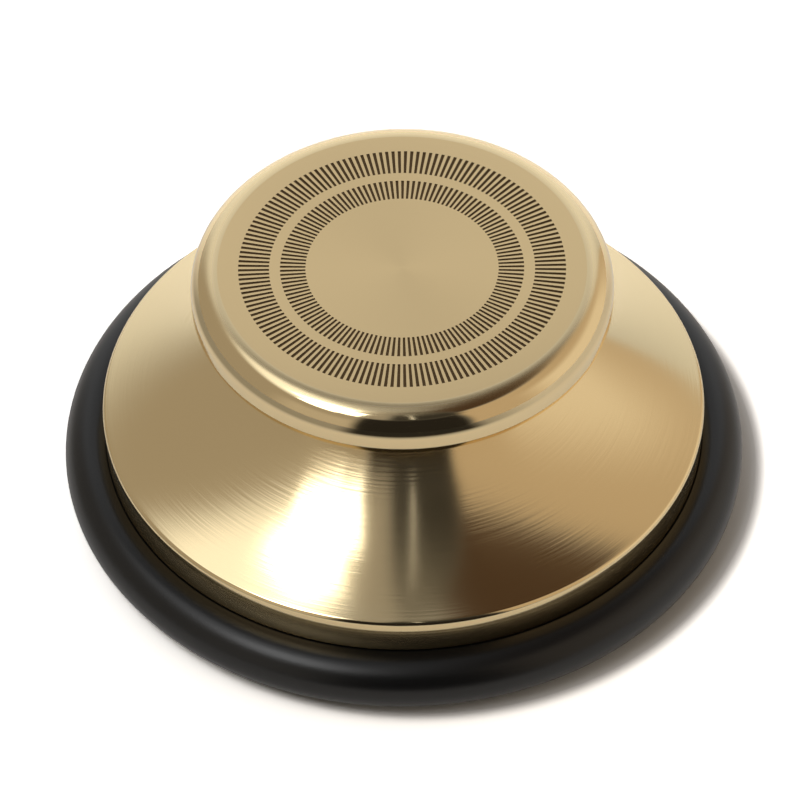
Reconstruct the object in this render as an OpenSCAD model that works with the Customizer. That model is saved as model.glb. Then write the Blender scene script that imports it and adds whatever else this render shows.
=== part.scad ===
// Adapter for playing wide-hole 45 rpm records on a turntable with a thin spindle.
// A turned brass body stands on the platter over the spindle, and a rubber ring in a
// groove round its foot centres the record. Z = 0 is the underside, and Z is the axis.

/* [Body] */
// Height from the underside to the top face
body_h = 16; // [15.5:0.1:18]
// Diameter over the rim, the widest brass
rim_d = 33.6; // [33.4:0.1:34.2]
// Height of the top of the upright band on the rim's edge
rim_z = 5.2; // [5.1:0.05:5.4]
// Height of the upright band on the rim's edge
rim_land = 0.35; // [0.2:0.05:0.5]
// Radius that breaks the edge between the band and the flank
rim_round = 0.3; // [0.2:0.05:0.4]
// Where the flared flank's arc has its centre, outward and up from the rim radius's centre
flare_out = 10; // [9.5:0.25:11]
flare_up = 24; // [23:0.25:26]
// Step from the rim in to the wall under it
rim_step = 0.1; // [0.05:0.05:0.2]

/* [Cap] */
// Diameter of the cap that the fingers lift
cap_d = 23.3; // [22:0.1:24]
// Radius of the cap's upper edge
cap_round_top = 1.5; // [1.2:0.1:1.6]
// Radius of the cap's lower edge
cap_round_low = 0.9; // [0.7:0.1:1.1]
// Upright band between the two edge radii
cap_land = 0.5; // [0.3:0.05:0.6]
// Tool radius in the corner between the cap and the flank
neck_fillet = 0.3; // [0.2:0.05:0.4]

/* [Ring] */
// Outer diameter of the fitted ring, just under a 38.1 mm record hole
ring_d = 38; // [37.8:0.05:38.1]
// Thickness of the ring's round cord
cord_d = 3.2; // [3.1:0.05:3.3]
// How much of the cord is pressed flat against the seat
seat_squash = 0.15; // [0.05:0.05:0.25]
// Gap between the platter and the underside of the ring
ring_lift = 0.15; // [0.1:0.01:0.2]

/* [Spindle bore] */
// Diameter of the bore, for a 7.15 mm spindle
bore_d = 7.26; // [7.24:0.01:7.33]
// Depth of the full bore from the underside
bore_depth = 12; // [11:0.5:12.5]
// Point angle of the drill that made the bore
drill_angle = 118; // [110:1:140]
// Chamfer round the bore's mouth
bore_chamfer = 0.5; // [0.3:0.1:0.8]

/* [Hidden] */
$fn = 240;

rim_r = rim_d / 2;
wall_r = rim_r - rim_step;
cap_r = cap_d / 2;
cap_low_z = body_h - cap_round_top - cap_land - cap_round_low;
rim_low_z = rim_z - rim_land;

// The ring's cord, and the groove that holds it
cord_r = cord_d / 2;
cord_centre_r = ring_d / 2 - cord_r;
cord_centre_z = cord_r + ring_lift;
seat_r = cord_centre_r - cord_r + seat_squash;
groove_gap = 0.07;
groove_top_z = cord_centre_z + sqrt(pow(cord_r + groove_gap, 2) - pow(cord_centre_r - wall_r, 2));
groove_fillet = 0.4;

// The lip under the ring: its 45 degree flank has r + z = lip_sum, and clears the cord
lip_clear = 0.09;
lip_sum = cord_centre_r + cord_centre_z - (cord_r + lip_clear) * sqrt(2);
lip_r = seat_r + 0.45;
foot_chamfer = 0.15;

// Centre of the radius on the rim's edge, and the flank's arc, which meets that radius without a corner
rim_centre = [rim_r - rim_round, rim_z];
flank_centre = rim_centre + [flare_out, flare_up];
flank_r = norm([flare_out, flare_up]) - rim_round;

// Radius of the flank's arc at a height
function flank_at(z) = flank_centre[0] - sqrt(pow(flank_r, 2) - pow(flank_centre[1] - z, 2));

// Centres of the cap's two edge radii
cap_low_centre = [cap_r - cap_round_low, cap_low_z + cap_round_low];
cap_top_centre = [cap_r - cap_round_top, body_h - cap_round_top];

// Centre of the fillet in the corner between the cap and the flank
neck_rise = flank_centre[1] - cap_low_z + neck_fillet;
neck_centre = [
    flank_centre[0] - sqrt(pow(flank_r - neck_fillet, 2) - pow(neck_rise, 2)),
    cap_low_z - neck_fillet
];

// Unit vector at an angle from the outward direction
function aim(angle) = [cos(angle), sin(angle)];

// Slice of a disc that rounds an edge, and runs on into the brass past both its ends
module edge_slice(centre, radius, from, to) {
    root = 10;
    reach = 2 * radius;
    side_a = reach * aim(from - root);
    side_b = reach * aim(to + root);
    intersection() {
        translate(centre)
            circle(r = radius);
        polygon([centre, centre + side_a, centre + side_a + side_b, centre + side_b]);
    }
}

// The foot: underside, lip, groove and the wall, which runs up inside the rim
module foot_outline() {
    polygon([
        [0, 0],
        [lip_r - foot_chamfer, 0],
        [lip_r, foot_chamfer],
        [lip_r, lip_sum - lip_r],
        [seat_r, lip_sum - seat_r],
        [seat_r, groove_top_z],
        [wall_r, groove_top_z],
        [wall_r, rim_z - rim_land / 2],
        [0, rim_z - rim_land / 2]
    ]);
    // Fillet in the groove's upper corner
    difference() {
        translate([seat_r, groove_top_z - groove_fillet])
            square(groove_fillet);
        translate([seat_r + groove_fillet, groove_top_z - groove_fillet])
            circle(r = groove_fillet);
    }
}

// The flared flank: a form tool's arc, with the rim's edge broken by a smaller radius
module flank_outline() {
    root = 0.5;
    difference() {
        polygon([
            [0, rim_low_z],
            [rim_r, rim_low_z],
            [rim_r, rim_z],
            rim_centre,
            rim_centre + 0.1 * [flare_out, flare_up],
            [rim_centre[0] + root, cap_low_z + root],
            [0, cap_low_z + root]
        ]);
        translate(flank_centre)
            circle(r = flank_r);
    }
    edge_slice(rim_centre, rim_round, 0, atan2(flare_up, flare_out));
}

// The cap: a disc with a large radius above and a smaller one below
module cap_outline() {
    polygon([
        [0, cap_low_z],
        [cap_low_centre[0], cap_low_z],
        cap_low_centre,
        [cap_r, cap_low_centre[1]],
        [cap_r, cap_top_centre[1]],
        cap_top_centre,
        [cap_top_centre[0], body_h],
        [0, body_h]
    ]);
    edge_slice(cap_low_centre, cap_round_low, -90, 0);
    edge_slice(cap_top_centre, cap_round_top, 0, 90);
}

// Fillet that the tool leaves in the corner between the cap and the flank, rooted in both.
// It is cut a hair wider than it is placed, so that it crosses both walls cleanly.
module neck_outline() {
    root = neck_fillet;
    hair = 0.002;
    into_flank = (neck_centre - flank_centre) / norm(neck_centre - flank_centre);
    difference() {
        polygon([
            neck_centre + (neck_fillet + root) * into_flank,
            neck_centre,
            [neck_centre[0], cap_low_z + root],
            [flank_at(cap_low_z) - root, cap_low_z + root]
        ]);
        translate(neck_centre)
            circle(r = neck_fillet + hair);
    }
}

// Blind hole for the spindle, with a drill point above and a chamfered mouth below
module spindle_bore() {
    bore_r = bore_d / 2;
    cylinder(r = bore_r, h = bore_depth);
    translate([0, 0, bore_depth])
        cylinder(r1 = bore_r, r2 = 0, h = bore_r / tan(drill_angle / 2));
    translate([0, 0, -bore_chamfer])
        cylinder(r1 = bore_r + 2 * bore_chamfer, r2 = bore_r, h = 2 * bore_chamfer);
}

// The whole body, turned from one bar
module turned_body() {
    color("#c9a660")
        difference() {
            rotate_extrude() {
                foot_outline();
                flank_outline();
                neck_outline();
                cap_outline();
            }
            spindle_bore();
        }
}

// Round-cord ring, stretched over the seat so that its inner side is pressed flat
module rubber_ring() {
    color("#242629")
        rotate_extrude()
            difference() {
                translate([cord_centre_r, cord_centre_z])
                    circle(r = cord_r);
                square([seat_r, ring_lift + cord_d]);
            }
}

turned_body();
rubber_ring();
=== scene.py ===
"""Looks of a record spindle adapter: a turned brass body with a black rubber ring round its foot."""

import logging
import math
from dataclasses import dataclass
from enum import Enum

import bpy
from mathutils import Matrix, Vector

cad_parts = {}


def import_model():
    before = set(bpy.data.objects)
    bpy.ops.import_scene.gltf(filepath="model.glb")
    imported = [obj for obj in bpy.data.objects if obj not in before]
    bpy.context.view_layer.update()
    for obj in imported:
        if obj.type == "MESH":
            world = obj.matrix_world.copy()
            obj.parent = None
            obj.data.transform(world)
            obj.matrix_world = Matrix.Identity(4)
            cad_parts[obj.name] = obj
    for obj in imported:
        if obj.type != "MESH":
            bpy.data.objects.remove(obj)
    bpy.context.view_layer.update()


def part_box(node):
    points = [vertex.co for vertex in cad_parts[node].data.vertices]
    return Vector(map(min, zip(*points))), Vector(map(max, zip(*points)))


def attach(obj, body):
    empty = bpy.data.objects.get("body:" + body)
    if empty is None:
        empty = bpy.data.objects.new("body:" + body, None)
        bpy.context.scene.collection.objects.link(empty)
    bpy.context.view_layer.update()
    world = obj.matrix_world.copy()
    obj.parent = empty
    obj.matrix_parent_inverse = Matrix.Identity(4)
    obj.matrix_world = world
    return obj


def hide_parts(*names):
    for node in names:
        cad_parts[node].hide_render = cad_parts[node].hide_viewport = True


MM = 0.001

log = logging.getLogger("adapter")


def linear(hex_colour: str) -> tuple[float, float, float, float]:
    """Turns an sRGB hex colour into the linear colour that a shader socket takes.

    Args:
        hex_colour: six hex digits after a hash, such as "#c9a660".

    Returns:
        Linear red, green and blue, and an alpha of 1.
    """
    channels = [int(hex_colour[i:i + 2], 16) / 255 for i in (1, 3, 5)]
    lit = [c / 12.92 if c <= 0.04045 else ((c + 0.055) / 1.055) ** 2.4 for c in channels]
    return (lit[0], lit[1], lit[2], 1.0)


def add_node(tree: bpy.types.NodeTree, kind: str, links: dict | None = None,
             **settings) -> bpy.types.Node:
    """Adds a node with its settings, socket values and links.

    Args:
        tree: the node tree that gets the node.
        kind: the node's type, such as "ShaderNodeBump".
        links: values or output sockets by input name or index.
        settings: the node's own properties, such as operation="MULTIPLY".

    Returns:
        The new node.
    """
    node = tree.nodes.new(kind)
    for name, value in settings.items():
        setattr(node, name, value)
    for socket, value in (links or {}).items():
        if isinstance(value, bpy.types.NodeSocket):
            tree.links.new(value, node.inputs[socket])
        else:
            node.inputs[socket].default_value = value
    return node


def new_material(name: str) -> tuple[bpy.types.Material, bpy.types.NodeTree, bpy.types.Node]:
    """Makes an empty material.

    Args:
        name: the material's name.

    Returns:
        The material, its node tree and its output node.
    """
    material = bpy.data.materials.new(name)
    material.use_nodes = True
    tree = material.node_tree
    tree.nodes.clear()
    return material, tree, add_node(tree, "ShaderNodeOutputMaterial")


@dataclass(frozen=True)
class TurnedBrass:
    """Brass as a lathe tool, a brush or a polishing wheel left it, with marks that run round the axis."""

    name: str
    colour: str
    roughness: float
    anisotropy: float
    # Direction across the marks in the half section, as (outward, upward)
    across: tuple[float, float]
    mark_pitch_mm: float
    mark_depth_mm: float
    # How many marks' lengths go into one radian of the turn
    marks_per_radian: float
    # Heights between which a polished edge fades into the satin face over it, and that face's roughness
    satin_heights_mm: tuple[float, float] | None = None
    satin_roughness: float = 0.0

    def dress(self) -> bpy.types.Material:
        """Makes the material.

        Returns:
            The brass material.
        """
        material, tree, output = new_material(self.name)
        place = add_node(tree, "ShaderNodeTexCoord").outputs["Object"]
        split = add_node(tree, "ShaderNodeSeparateXYZ", {0: place})
        flat = add_node(tree, "ShaderNodeCombineXYZ", {0: split.outputs[0], 1: split.outputs[1]})
        radius = add_node(tree, "ShaderNodeVectorMath", {0: flat.outputs[0]}, operation="LENGTH")
        heading = add_node(tree, "ShaderNodeVectorMath", {0: flat.outputs[0]}, operation="NORMALIZE")
        out_part = add_node(
            tree, "ShaderNodeMath", {0: radius.outputs["Value"], 1: self.across[0]}, operation="MULTIPLY")
        along = add_node(
            tree, "ShaderNodeMath", {0: split.outputs[2], 1: self.across[1], 2: out_part.outputs[0]},
            operation="MULTIPLY_ADD")
        pitch = add_node(
            tree, "ShaderNodeMath", {0: along.outputs[0], 1: 1 / (self.mark_pitch_mm * MM)},
            operation="MULTIPLY")
        turn = add_node(
            tree, "ShaderNodeVectorMath", {0: heading.outputs[0], "Scale": self.marks_per_radian},
            operation="SCALE")
        turn_split = add_node(tree, "ShaderNodeSeparateXYZ", {0: turn.outputs[0]})
        grid = add_node(
            tree, "ShaderNodeCombineXYZ",
            {0: turn_split.outputs[0], 1: turn_split.outputs[1], 2: pitch.outputs[0]})
        marks = add_node(
            tree, "ShaderNodeTexNoise", {"Vector": grid.outputs[0], "Scale": 1.0, "Detail": 3.0})
        bump = add_node(
            tree, "ShaderNodeBump",
            {"Strength": 1.0, "Distance": self.mark_depth_mm * MM, "Height": marks.outputs["Fac"]})
        tangent = add_node(tree, "ShaderNodeTangent", direction_type="RADIAL", axis="Z")
        roughness = self.roughness
        if self.satin_heights_mm:
            low, high = self.satin_heights_mm
            fade = add_node(tree, "ShaderNodeMapRange", {
                0: split.outputs[2], 1: low * MM, 2: high * MM, 3: self.roughness, 4: self.satin_roughness})
            roughness = fade.outputs[0]
        shader = add_node(tree, "ShaderNodeBsdfPrincipled", {
            "Base Color": linear(self.colour),
            "Metallic": 1.0,
            "Roughness": roughness,
            "Anisotropic": self.anisotropy,
            "Anisotropic Rotation": 0.25,
            "Tangent": tangent.outputs[0],
            "Normal": bump.outputs[0],
        })
        tree.links.new(shader.outputs[0], output.inputs[0])
        return material


@dataclass(frozen=True)
class MouldedRubber:
    """Black moulded rubber, which gives a soft grey sheen and almost no mirror image."""

    name: str = "rubber_moulded"
    colour: str = "#0c0d0f"
    roughness: float = 0.31
    grain_mm: float = 0.12
    grain_depth_mm: float = 0.004

    def dress(self) -> bpy.types.Material:
        """Makes the material.

        Returns:
            The rubber material.
        """
        material, tree, output = new_material(self.name)
        place = add_node(tree, "ShaderNodeTexCoord").outputs["Object"]
        grain = add_node(
            tree, "ShaderNodeTexNoise", {"Vector": place, "Scale": 1 / (self.grain_mm * MM), "Detail": 2.0})
        bump = add_node(
            tree, "ShaderNodeBump",
            {"Strength": 1.0, "Distance": self.grain_depth_mm * MM, "Height": grain.outputs["Fac"]})
        shader = add_node(tree, "ShaderNodeBsdfPrincipled", {
            "Base Color": linear(self.colour),
            "Roughness": self.roughness,
            "Normal": bump.outputs[0],
        })
        tree.links.new(shader.outputs[0], output.inputs[0])
        return material


class Zone(Enum):
    """The finishes of the turned body, each with its material.

    The marks are drawn coarser than a lathe or a brush leaves them, so that they show at this size.
    """

    # Faced on the lathe: satin, with a faint sheen that turns round the middle
    TOP = TurnedBrass("brass_faced", "#ebd19f", 0.32, 0.3, (1, 0), 0.08, 0.0015, 2)
    # Polished: the room shows in it as in a mirror, until it fades into the satin top
    EDGE = TurnedBrass("brass_polished", "#efdaad", 0.08, 0.0, (0.7, 0.7), 0.2, 0.0004, 1,
                       satin_heights_mm=(15.75, 16.0), satin_roughness=0.3)
    # Brushed round the axis: lights are drawn out across the brushing, with fine streaks along it
    FLANK = TurnedBrass("brass_brushed", "#efdaad", 0.15, 0.7, (0.7, -0.7), 0.16, 0.006, 2)
    # Turned, faced or drilled and left so: duller, and given a darker colour as painted shade where the
    # light hardly reaches
    WALL = TurnedBrass("brass_turned_painted_shade", "#e6cf9f", 0.2, 0.4, (0, 1), 0.12, 0.004, 1)
    FOOT = TurnedBrass("brass_faced_foot_painted_shade", "#e6cf9f", 0.28, 0.4, (1, 0), 0.12, 0.004, 1)
    BORE = TurnedBrass("brass_drilled_painted_shade", "#d0b482", 0.3, 0.3, (0, 1), 0.15, 0.006, 1)
    # Darkened by a laser: matt and brown
    MARK = TurnedBrass("brass_laser_marked", "#5f4c34", 0.5, 0.0, (1, 0), 0.1, 0.002, 4)


class Outline:
    """Half section of a turned piece, drawn as stretches that each have a finish, in millimetres."""

    def __init__(self, r: float, z: float) -> None:
        """Starts the outline at a point."""
        self.points: list[tuple[float, float]] = [(r, z)]
        self.zones: list[Zone | None] = []

    def line(self, r: float, z: float, zone: Zone | None = None) -> "Outline":
        """Draws a straight stretch.

        Args:
            r: radius of its end.
            z: height of its end.
            zone: its finish.

        Returns:
            The outline, so that stretches can be chained.
        """
        self.points.append((r, z))
        self.zones.append(zone)
        return self

    def arc(self, centre: tuple[float, float], radius: float, start: float, end: float, steps: int,
            zone: Zone | None = None) -> "Outline":
        """Draws an arc, from the outline's last point.

        Args:
            centre: radius and height of the arc's centre.
            radius: the arc's radius.
            start: angle of its first point from the outward direction, in degrees.
            end: angle of its last point.
            steps: number of straight steps.
            zone: its finish.

        Returns:
            The outline, so that stretches can be chained.
        """
        for step in range(1, steps + 1):
            angle = math.radians(start + (end - start) * step / steps)
            self.line(centre[0] + radius * math.cos(angle), centre[1] + radius * math.sin(angle), zone)
        return self


class TurnedMesh:
    """Mesh of a turned piece, built up ring by ring."""

    def __init__(self) -> None:
        """Starts with no vertices."""
        self.vertices: list[tuple[float, float, float]] = []
        self.faces: list[tuple[int, ...]] = []
        self.zones: list[Zone | None] = []

    def ring(self, r: float, z: float, count: int) -> list[int]:
        """Adds a ring of vertices, or one vertex on the axis.

        Args:
            r: the ring's radius.
            z: its height.
            count: its number of vertices.

        Returns:
            The vertices' indices, the same one throughout on the axis.
        """
        start = len(self.vertices)
        if r == 0:
            self.vertices.append((0.0, 0.0, z * MM))
            return [start] * count
        for i in range(count):
            turn = 2 * math.pi * i / count
            self.vertices.append((r * math.sin(turn) * MM, -r * math.cos(turn) * MM, z * MM))
        return list(range(start, start + count))

    def face(self, corners: tuple[int, ...], zone: Zone | None) -> None:
        """Adds a face, without corners that are the same vertex."""
        kept = tuple(dict.fromkeys(corners))
        if len(kept) > 2:
            self.faces.append(kept)
            self.zones.append(zone)

    def band(self, first: list[int], second: list[int], zone: Zone | None) -> None:
        """Joins two rings of the same count with four-cornered faces."""
        count = len(first)
        for i in range(count):
            j = (i + 1) % count
            self.face((first[i], first[j], second[j], second[i]), zone)

    def zip(self, first: list[int], second: list[int], zone: Zone | None) -> None:
        """Joins two rings of different counts with triangles."""
        a, b = len(first), len(second)
        i = j = 0
        while i < a or j < b:
            if (i + 1) * b <= (j + 1) * a:
                self.face((first[i % a], first[(i + 1) % a], second[j % b]), zone)
                i += 1
            else:
                self.face((second[j % b], first[i % a], second[(j + 1) % b]), zone)
                j += 1

    def revolve(self, outline: Outline, count: int) -> tuple[list[int], list[int]]:
        """Turns an outline round the axis.

        Args:
            outline: the half section.
            count: number of steps round the axis.

        Returns:
            The rings at its start and its end.
        """
        rings = [self.ring(r, z, count) for r, z in outline.points]
        for first, second, zone in zip(rings, rings[1:], outline.zones):
            self.band(first, second, zone)
        return rings[0], rings[-1]

    def build(self, name: str, materials: dict) -> bpy.types.Object:
        """Makes the Blender object.

        Args:
            name: the object's name.
            materials: the material of each zone.

        Returns:
            The object, smooth apart from its true corners.
        """
        mesh = bpy.data.meshes.new(name)
        mesh.from_pydata(self.vertices, [], self.faces)
        order = {zone: i for i, zone in enumerate(materials)}
        for material in materials.values():
            mesh.materials.append(material)
        mesh.polygons.foreach_set("material_index", [order[zone] for zone in self.zones])
        mesh.shade_smooth()
        mesh.set_sharp_from_angle(angle=math.radians(25))
        mesh.validate()
        piece = bpy.data.objects.new(name, mesh)
        bpy.context.scene.collection.objects.link(piece)
        normals = piece.modifiers.new("flats_stay_flat", "WEIGHTED_NORMAL")
        normals.weight = 100
        normals.keep_sharp = True
        return piece


@dataclass
class StrobeBand:
    """A ring of radial bars that seem to stand still under mains light when a 45 rpm record turns."""

    inner_r: float
    outer_r: float
    bars: int
    depth: float = 0.03

    def cut(self, mesh: TurnedMesh, face_z: float,
            outer: list[int] | None = None) -> tuple[list[int], list[int]]:
        """Cuts the bars into the top face, half of each step a bar and half bare.

        Args:
            mesh: the mesh that gets the band.
            face_z: height of the top face.
            outer: a ring of two vertices a bar at the band's outer edge, if it is there already.

        Returns:
            The band's outer and inner ring on the top face.
        """
        count = 2 * self.bars
        outer = outer or mesh.ring(self.outer_r, face_z, count)
        inner = mesh.ring(self.inner_r, face_z, count)
        low_outer = mesh.ring(self.outer_r, face_z - self.depth, count)
        low_inner = mesh.ring(self.inner_r, face_z - self.depth, count)
        for i in range(count):
            j = (i + 1) % count
            if i % 2:
                mesh.face((outer[i], outer[j], inner[j], inner[i]), Zone.TOP)
                continue
            mesh.face((low_outer[i], low_outer[j], low_inner[j], low_inner[i]), Zone.MARK)
            mesh.face((outer[i], outer[j], low_outer[j], low_outer[i]), Zone.MARK)
            mesh.face((low_inner[i], low_inner[j], inner[j], inner[i]), Zone.MARK)
            mesh.face((outer[i], low_outer[i], low_inner[i], inner[i]), Zone.MARK)
            mesh.face((low_outer[j], outer[j], inner[j], low_inner[j]), Zone.MARK)
        return outer, inner


@dataclass
class TurnedBody:
    """The brass body: cap, flared flank, rim, groove for the ring, flat underside and blind bore."""

    rim_r: float
    height: float
    steps: int = 320
    rim_z: float = 5.2
    rim_round: float = 0.3
    rim_low_z: float = 4.85
    # From the centre of the rim's radius to the centre of the flank's arc
    flare: tuple[float, float] = (10.0, 24.0)
    wall_r: float = 16.7
    groove_top_z: float = 3.266
    groove_fillet: float = 0.4
    seat_r: float = 15.95
    lip_r: float = 16.4
    lip_top_z: float = 0.36
    lip_root_z: float = 0.81
    foot_chamfer: float = 0.15
    cap_r: float = 11.65
    cap_round_top: float = 1.5
    cap_round_low: float = 0.9
    cap_low_z: float = 13.1
    neck_fillet: float = 0.3
    bore_r: float = 3.63
    bore_depth: float = 12.0
    bore_tip_z: float = 14.181
    bore_chamfer: float = 0.5

    def outline(self) -> Outline:
        """Draws the half section from the tip of the bore, down and round to the edge of the top face.

        Returns:
            The half section.
        """
        section = Outline(0, self.bore_tip_z)
        section.line(self.bore_r, self.bore_depth, Zone.BORE)
        section.line(self.bore_r, self.bore_chamfer, Zone.BORE)
        section.line(self.bore_r + self.bore_chamfer, 0, Zone.BORE)
        section.line(self.lip_r - self.foot_chamfer, 0, Zone.FOOT)
        section.line(self.lip_r, self.foot_chamfer, Zone.FOOT)
        section.line(self.lip_r, self.lip_top_z, Zone.WALL)
        section.line(self.seat_r, self.lip_root_z, Zone.WALL)
        section.line(self.seat_r, self.groove_top_z - self.groove_fillet, Zone.WALL)
        corner = (self.seat_r + self.groove_fillet, self.groove_top_z - self.groove_fillet)
        section.arc(corner, self.groove_fillet, 180, 90, 8, Zone.WALL)
        section.line(self.wall_r, self.groove_top_z, Zone.WALL)
        section.line(self.wall_r, self.rim_low_z, Zone.WALL)
        section.line(self.rim_r, self.rim_low_z, Zone.EDGE)
        section.line(self.rim_r, self.rim_z, Zone.EDGE)
        return self.flank_and_cap(section)

    def flank_and_cap(self, section: Outline) -> Outline:
        """Goes on round the rim's edge, along the flank, round the neck and over the cap's rounded edge.

        Args:
            section: the half section so far.

        Returns:
            The same half section.
        """
        rim = Vector((self.rim_r - self.rim_round, self.rim_z))
        flank = rim + Vector(self.flare)
        flank_r = Vector(self.flare).length - self.rim_round
        lean = math.degrees(math.atan2(self.flare[1], self.flare[0]))
        neck_z = self.cap_low_z - self.neck_fillet
        neck_rise = flank.y - neck_z
        neck_reach = flank_r - self.neck_fillet
        neck_lean = math.degrees(math.asin(neck_rise / neck_reach))
        neck_r = flank.x - neck_reach * math.cos(math.radians(neck_lean))
        section.arc(tuple(rim), self.rim_round, 0, lean, 14, Zone.EDGE)
        section.arc(tuple(flank), flank_r, 180 + lean, 180 + neck_lean, 64, Zone.FLANK)
        section.arc((neck_r, neck_z), self.neck_fillet, 180 + neck_lean, 90, 18, Zone.FLANK)
        low = (self.cap_r - self.cap_round_low, self.cap_low_z + self.cap_round_low)
        section.line(low[0], self.cap_low_z, Zone.EDGE)
        section.arc(low, self.cap_round_low, -90, 0, 30, Zone.EDGE)
        top = (self.cap_r - self.cap_round_top, self.height - self.cap_round_top)
        section.line(self.cap_r, top[1], Zone.EDGE)
        section.arc(top, self.cap_round_top, 0, 90, 40, Zone.EDGE)
        return section

    def build(self) -> bpy.types.Object:
        """Builds and dresses the body.

        Returns:
            The body's object.
        """
        mesh = TurnedMesh()
        _, face_edge = mesh.revolve(self.outline(), self.steps)
        # The outer band has a bar to every two steps, so that it joins the turned mesh edge to edge
        outer_band = StrobeBand(7.3, 9.0, self.steps // 2)
        inner_band = StrobeBand(5.3, 6.7, 133)
        outer, inner = outer_band.cut(mesh, self.height)
        mesh.band(face_edge, outer, Zone.TOP)
        second, core = inner_band.cut(mesh, self.height)
        mesh.zip(inner, second, Zone.TOP)
        mesh.band(core, mesh.ring(0, self.height, len(core)), Zone.TOP)
        piece = mesh.build("brass_body", {zone: zone.value.dress() for zone in Zone})
        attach(piece, "root")
        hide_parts("turned_body")
        return piece


@dataclass
class RubberRing:
    """The ring of round cord, stretched over the seat so that its inner side is pressed flat."""

    outer_r: float
    cord_r: float = 1.6
    centre_z: float = 1.75
    seat_r: float = 15.95
    steps: int = 320

    def build(self) -> bpy.types.Object:
        """Builds and dresses the ring.

        Returns:
            The ring's object.
        """
        centre_r = self.outer_r - self.cord_r
        flat = math.degrees(math.acos((self.seat_r - centre_r) / self.cord_r))
        half_height = self.cord_r * math.sin(math.radians(flat))
        section = Outline(self.seat_r, self.centre_z - half_height)
        section.arc((centre_r, self.centre_z), self.cord_r, -flat, flat, 96)
        section.line(self.seat_r, self.centre_z - half_height)
        mesh = TurnedMesh()
        mesh.revolve(section, self.steps)
        piece = mesh.build("ring_of_rubber", {None: MouldedRubber().dress()})
        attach(piece, "root")
        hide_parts("rubber_ring")
        return piece


@dataclass(frozen=True)
class Panel:
    """A bright or dark part of the studio, as the small object on the table sees it."""

    # From the camera's side, positive to the right, in degrees
    azimuth: tuple[float, float]
    # Above the table, in degrees
    height: tuple[float, float]
    colour: str
    glow: float
    # Width of the soft edges, across and upward, in degrees
    soft: tuple[float, float] = (6.0, 4.0)

    def cover(self, tree: bpy.types.NodeTree, turn: bpy.types.NodeSocket, rise: bpy.types.NodeSocket,
              behind: bpy.types.NodeSocket) -> bpy.types.NodeSocket:
        """Paints the panel over what is behind it.

        Args:
            tree: the world's node tree.
            turn: the azimuth in which a ray looks out, in radians.
            rise: its angle above the table, in radians.
            behind: the colour there so far.

        Returns:
            The colour with the panel in front.
        """
        aside = self.aside(tree, turn, sum(self.azimuth) / 2)
        half = (self.azimuth[1] - self.azimuth[0]) / 2
        sides = self.edge(tree, aside, half, -self.soft[0])
        bottom = self.edge(tree, rise, self.height[0], self.soft[1])
        top = self.edge(tree, rise, self.height[1], -self.soft[1])
        upright = add_node(tree, "ShaderNodeMath", {0: bottom, 1: top}, operation="MULTIPLY")
        inside = add_node(tree, "ShaderNodeMath", {0: sides, 1: upright.outputs[0]}, operation="MULTIPLY")
        glow = tuple(self.glow * channel for channel in linear(self.colour)[:3]) + (1.0,)
        mix = add_node(tree, "ShaderNodeMix", {0: inside.outputs[0], 6: behind, 7: glow}, data_type="RGBA")
        return mix.outputs[2]

    @staticmethod
    def azimuth_of(tree: bpy.types.NodeTree, split: bpy.types.Node) -> bpy.types.NodeSocket:
        """Finds an azimuth.

        Args:
            tree: the node tree.
            split: a node that gives a place or direction as X, Y and Z.

        Returns:
            The azimuth in radians, 0 on the camera's side and positive to the right.
        """
        front = add_node(tree, "ShaderNodeMath", {0: split.outputs[1], 1: -1.0}, operation="MULTIPLY")
        turn = add_node(
            tree, "ShaderNodeMath", {0: split.outputs[0], 1: front.outputs[0]}, operation="ARCTAN2")
        return turn.outputs[0]

    @staticmethod
    def aside(tree: bpy.types.NodeTree, turn: bpy.types.NodeSocket, middle: float) -> bpy.types.NodeSocket:
        """Finds how far an azimuth is from a middle one, either way round.

        Args:
            tree: the node tree.
            turn: the azimuth, in radians.
            middle: the middle one, in degrees.

        Returns:
            The angle between them, in radians.
        """
        off = add_node(tree, "ShaderNodeMath", {0: turn, 1: math.radians(middle)}, operation="SUBTRACT")
        near = add_node(
            tree, "ShaderNodeMath", {0: off.outputs[0], 1: math.pi, 2: -math.pi}, operation="WRAP")
        return add_node(tree, "ShaderNodeMath", {0: near.outputs[0]}, operation="ABSOLUTE").outputs[0]

    @staticmethod
    def edge(tree: bpy.types.NodeTree, angle: bpy.types.NodeSocket, at: float,
             soft: float) -> bpy.types.NodeSocket:
        """Makes a soft step at an angle.

        Args:
            tree: the world's node tree.
            angle: the angle, in radians.
            at: where the step is, in degrees.
            soft: its width in degrees, negative for a step down.

        Returns:
            A value from 0 to 1.
        """
        step = add_node(tree, "ShaderNodeMapRange", {
            0: angle, 1: math.radians(at - soft / 2), 2: math.radians(at + soft / 2), 3: 0.0, 4: 1.0},
            interpolation_type="SMOOTHSTEP")
        return step.outputs[0]


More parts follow.
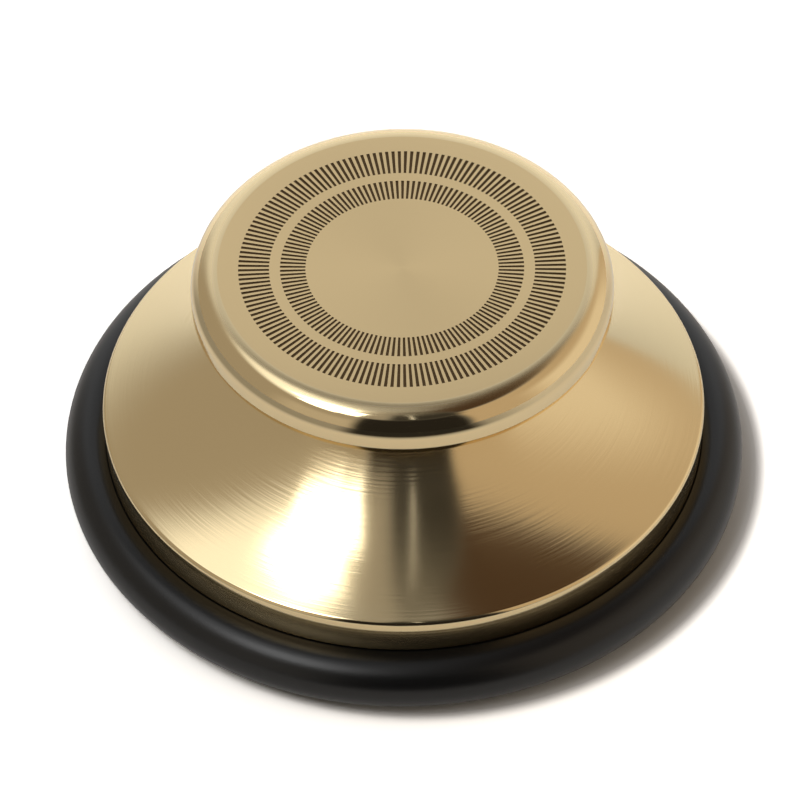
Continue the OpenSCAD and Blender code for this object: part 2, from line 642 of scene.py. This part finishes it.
@dataclass(frozen=True)
class WhitePaper:
    """White paper, matt and overexposed. Its tone differs for the camera, with a painted contact shadow, and
    for mirror images, with painted light and shade.
    """

    # To the camera it is overexposed, apart from a disc under the ring, whose contact shadow is partly
    # drawn here because the soft room fills it more than in the photograph
    seen: float = 2.6
    painted_shadow_tone: float = 0.85
    painted_ring_shadow_mm: tuple[float, float] = (18.6, 19.5)
    painted_ring_shadow_middle_mm: tuple[float, float] = (1.1, 0.2)
    # To light that lands on it
    plain: float = 0.88
    # Its painted tone in mirror images in the brass, which stands in for the room's light and shade on it:
    # near the object, and the distances over which that fades
    near: float = 1.15
    near_ends_mm: tuple[float, float] = (28.0, 54.0)
    # Further off it is painted dark toward the camera as painted shade, grey at the sides, and painted paler
    # to the right and behind as painted light, by how many degrees it is from the middle of each
    dark: float = 0.04
    dark_middle: float = 4.0
    dark_ends: tuple[float, float] = (24.0, 35.0)
    grey: float = 0.52
    right_gain: float = 0.5
    right_ends: tuple[float, float] = (62.0, 20.0)
    back_gain: float = 1.2
    back_ends: tuple[float, float] = (66.0, 24.0)

    def painted_mirror_tone(self, tree: bpy.types.NodeTree, place: bpy.types.NodeSocket) -> bpy.types.NodeSocket:
        """Finds the paper's painted light and shade in mirror images.

        Args:
            tree: the paper's node tree.
            place: the place on the paper.

        Returns:
            The tone.
        """
        split = add_node(tree, "ShaderNodeSeparateXYZ", {0: place})
        azimuth = Panel.azimuth_of(tree, split)
        far = add_node(tree, "ShaderNodeMapRange", {
            0: Panel.aside(tree, azimuth, self.dark_middle), 1: math.radians(self.dark_ends[0]),
            2: math.radians(self.dark_ends[1]), 3: self.dark, 4: self.grey},
            interpolation_type="SMOOTHSTEP").outputs[0]
        right = (90, self.right_ends, self.right_gain)
        back = (180, self.back_ends, self.back_gain)
        for middle, ends, gain in (right, back):
            more = add_node(tree, "ShaderNodeMapRange", {
                0: Panel.aside(tree, azimuth, middle), 1: math.radians(ends[0]), 2: math.radians(ends[1]),
                3: 0.0, 4: gain}, interpolation_type="SMOOTHSTEP")
            far = add_node(tree, "ShaderNodeMath", {0: far, 1: more.outputs[0]}, operation="ADD").outputs[0]
        radius = add_node(tree, "ShaderNodeVectorMath", {0: place}, operation="LENGTH")
        away = add_node(tree, "ShaderNodeMapRange", {
            0: radius.outputs["Value"], 1: self.near_ends_mm[0] * MM, 2: self.near_ends_mm[1] * MM,
            3: 0.0, 4: 1.0}, interpolation_type="SMOOTHSTEP")
        return add_node(tree, "ShaderNodeMix", {0: away.outputs[0], 2: self.near, 3: far}).outputs[0]

    def dress(self) -> bpy.types.Material:
        """Makes the material.

        Returns:
            The paper material.
        """
        material, tree, output = new_material("paper_sweep")
        rays = add_node(tree, "ShaderNodeLightPath")
        place = add_node(tree, "ShaderNodeTexCoord").outputs["Object"]
        # Glossy rays see the paper's painted light and shade instead of its plain colour
        plain = add_node(tree, "ShaderNodeMix", {
            0: rays.outputs["Is Glossy Ray"], 2: self.plain, 3: self.painted_mirror_tone(tree, place)})
        middle = (self.painted_ring_shadow_middle_mm[0] * MM, self.painted_ring_shadow_middle_mm[1] * MM, 0)
        shade = add_node(tree, "ShaderNodeVectorMath", {0: place, 1: middle}, operation="DISTANCE")
        # Painted contact shadow: a darker disc in the paper's colour to the camera, round the ring's foot
        contact = add_node(tree, "ShaderNodeMapRange", {
            0: shade.outputs["Value"], 1: self.painted_ring_shadow_mm[0] * MM, 2: self.painted_ring_shadow_mm[1] * MM,
            3: self.painted_shadow_tone, 4: self.seen}, interpolation_type="SMOOTHSTEP")
        seen = add_node(tree, "ShaderNodeMix", {
            0: rays.outputs["Is Camera Ray"], 2: plain.outputs[0], 3: contact.outputs[0]})
        paper = add_node(tree, "ShaderNodeBsdfDiffuse", {"Color": seen.outputs[0]})
        tree.links.new(paper.outputs[0], output.inputs[0])
        return material


@dataclass
class Studio:
    """The camera, the paper under the object, and the room round it."""

    rim_r: float
    # Height above the table from which the camera's rise is counted, in millimetres
    rim_z: float = 5.0
    # The camera's place in rim radii, and its aim in radians
    distance: float = 18.1675
    rise: float = 19.4383
    pan: float = -0.00063
    tilt: float = 0.81862
    roll: float = -0.010877
    lens_mm: float = 360.0
    # Half the side of the paper, in metres
    paper_reach: float = 1.5
    # The room from the back to the front, each panel in front of the ones before it
    ceiling: str = "#a0a0a0"
    panels: tuple[Panel, ...] = (
        # White sweep behind the object, dimmer toward its top, and the gap over it
        Panel((146, 214), (-90, 47), "#ffffff", 1.02, (44, 10)),
        Panel((146, 214), (24, 47), "#f2f2f2", 0.95, (44, 30)),
        Panel((100, 260), (51, 68), "#7c7c7c", 1.0, (36, 9)),
        # Left wall, and the paler stretch low under the softbox
        Panel((-142, -22), (-90, 50), "#a89f92", 1.0, (22, 8)),
        Panel((-62, -22), (-2, 34), "#c0b7aa", 1.0, (18, 16)),
        # Right wall, paler in its middle, and the brown ceiling over it
        Panel((32.5, 142), (-90, 57), "#c4b29b", 1.0, (3, 5)),
        Panel((68, 132), (-90, 34), "#e8dccc", 1.0, (26, 22)),
        Panel((33, 160), (58, 83), "#4b3a2c", 1.0, (16, 6)),
        # The camera's side, where the room is dark, with a slit of light in it
        Panel((-24, 32.5), (-90, 52), "#272523", 1.0, (7, 8)),
        Panel((-58, -9), (51, 86), "#9e9993", 1.0, (12, 5)),
        Panel((-9, 36), (50, 84), "#3a3835", 1.0, (10, 8)),
        Panel((-9, 36), (72, 90), "#6e6b66", 1.0, (24, 24)),
        Panel((4.9, 6.6), (54, 78), "#ffffff", 1.15, (1.0, 4)),
        # Softbox at the upper left: its dim end, its bright middle, and its corner toward the camera
        Panel((-132, -50), (51, 77.2), "#ffffff", 1.3, (15, 11)),
        Panel((-82, -47), (59, 74.2), "#ffffff", 5.0, (12, 8)),
        Panel((-66, -41), (49.5, 69), "#ffffff", 4.0, (3, 1.6)),
        Panel((-45, -28.3), (52.2, 67.5), "#ffffff", 4.0, (3, 1.6)),
    )

    def camera(self) -> None:
        """Puts the camera where the photograph was taken from, at distances in rim radii."""
        unit = self.rim_r * MM
        forward = Vector((math.sin(self.pan) * math.cos(self.tilt), math.cos(self.pan) * math.cos(self.tilt),
                          -math.sin(self.tilt)))
        level = forward.cross(Vector((0, 0, 1))).normalized()
        above = level.cross(forward)
        right = math.cos(self.roll) * level + math.sin(self.roll) * above
        up = -math.sin(self.roll) * level + math.cos(self.roll) * above
        data = bpy.data.cameras.new("camera")
        data.lens = self.lens_mm
        data.sensor_width = 36.0
        data.clip_start = 0.01
        turn = Matrix((right, up, -forward)).transposed().to_4x4()
        camera = bpy.data.objects.new("camera", data)
        camera.matrix_world = Matrix.Translation(
            (0, -self.distance * unit, self.rim_z * MM + self.rise * unit)) @ turn
        bpy.context.scene.collection.objects.link(camera)
        bpy.context.scene.camera = camera

    def floor(self) -> None:
        """Lays the white paper under the object, where it takes the object's shadow."""
        mesh = bpy.data.meshes.new("floor")
        reach = self.paper_reach
        corners = [(-reach, -reach, 0), (reach, -reach, 0), (reach, reach, 0), (-reach, reach, 0)]
        mesh.from_pydata(corners, [], [(0, 1, 2, 3)])
        mesh.materials.append(WhitePaper().dress())
        floor = bpy.data.objects.new("floor", mesh)
        bpy.context.scene.collection.objects.link(floor)

    def world(self) -> None:
        """Lights the object from all round, and is white behind it."""
        world = bpy.data.worlds.new("studio")
        bpy.context.scene.world = world
        world.use_nodes = True
        tree = world.node_tree
        tree.nodes.clear()
        output = add_node(tree, "ShaderNodeOutputWorld")
        rays = add_node(tree, "ShaderNodeLightPath")
        view = add_node(tree, "ShaderNodeTexCoord").outputs["Generated"]
        room = add_node(tree, "ShaderNodeRGB")
        room.outputs[0].default_value = linear(self.ceiling)
        colour = room.outputs[0]
        split = add_node(tree, "ShaderNodeSeparateXYZ", {0: view})
        turn = Panel.azimuth_of(tree, split)
        rise = add_node(tree, "ShaderNodeMath", {0: split.outputs[2]}, operation="ARCSINE").outputs[0]
        for panel in self.panels:
            colour = panel.cover(tree, turn, rise, colour)
        around = add_node(tree, "ShaderNodeBackground", {"Color": colour, "Strength": 1.0})
        behind = add_node(tree, "ShaderNodeBackground", {"Color": (1, 1, 1, 1), "Strength": 1.0})
        pick = add_node(tree, "ShaderNodeMixShader", {
            0: rays.outputs["Is Camera Ray"], 1: around.outputs[0], 2: behind.outputs[0]})
        tree.links.new(pick.outputs[0], output.inputs[0])

    def set_up(self) -> None:
        """Makes the whole studio."""
        self.camera()
        self.floor()
        self.world()
        bpy.context.scene.view_settings.view_transform = "Standard"


def main() -> None:
    """Builds the adapter and its studio."""
    logging.basicConfig(level=logging.INFO, format="%(name)s: %(message)s")
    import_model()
    _, body_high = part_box("turned_body")
    _, ring_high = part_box("rubber_ring")
    rim_r = round(body_high.x / MM, 1)
    body = TurnedBody(rim_r, round(body_high.z / MM, 2)).build()
    log.info("%s has %d faces", body.name, len(body.data.polygons))
    ring = RubberRing(round(ring_high.x / MM, 1)).build()
    log.info("%s has %d faces", ring.name, len(ring.data.polygons))
    Studio(rim_r).set_up()


if __name__ == "__main__":
    main()
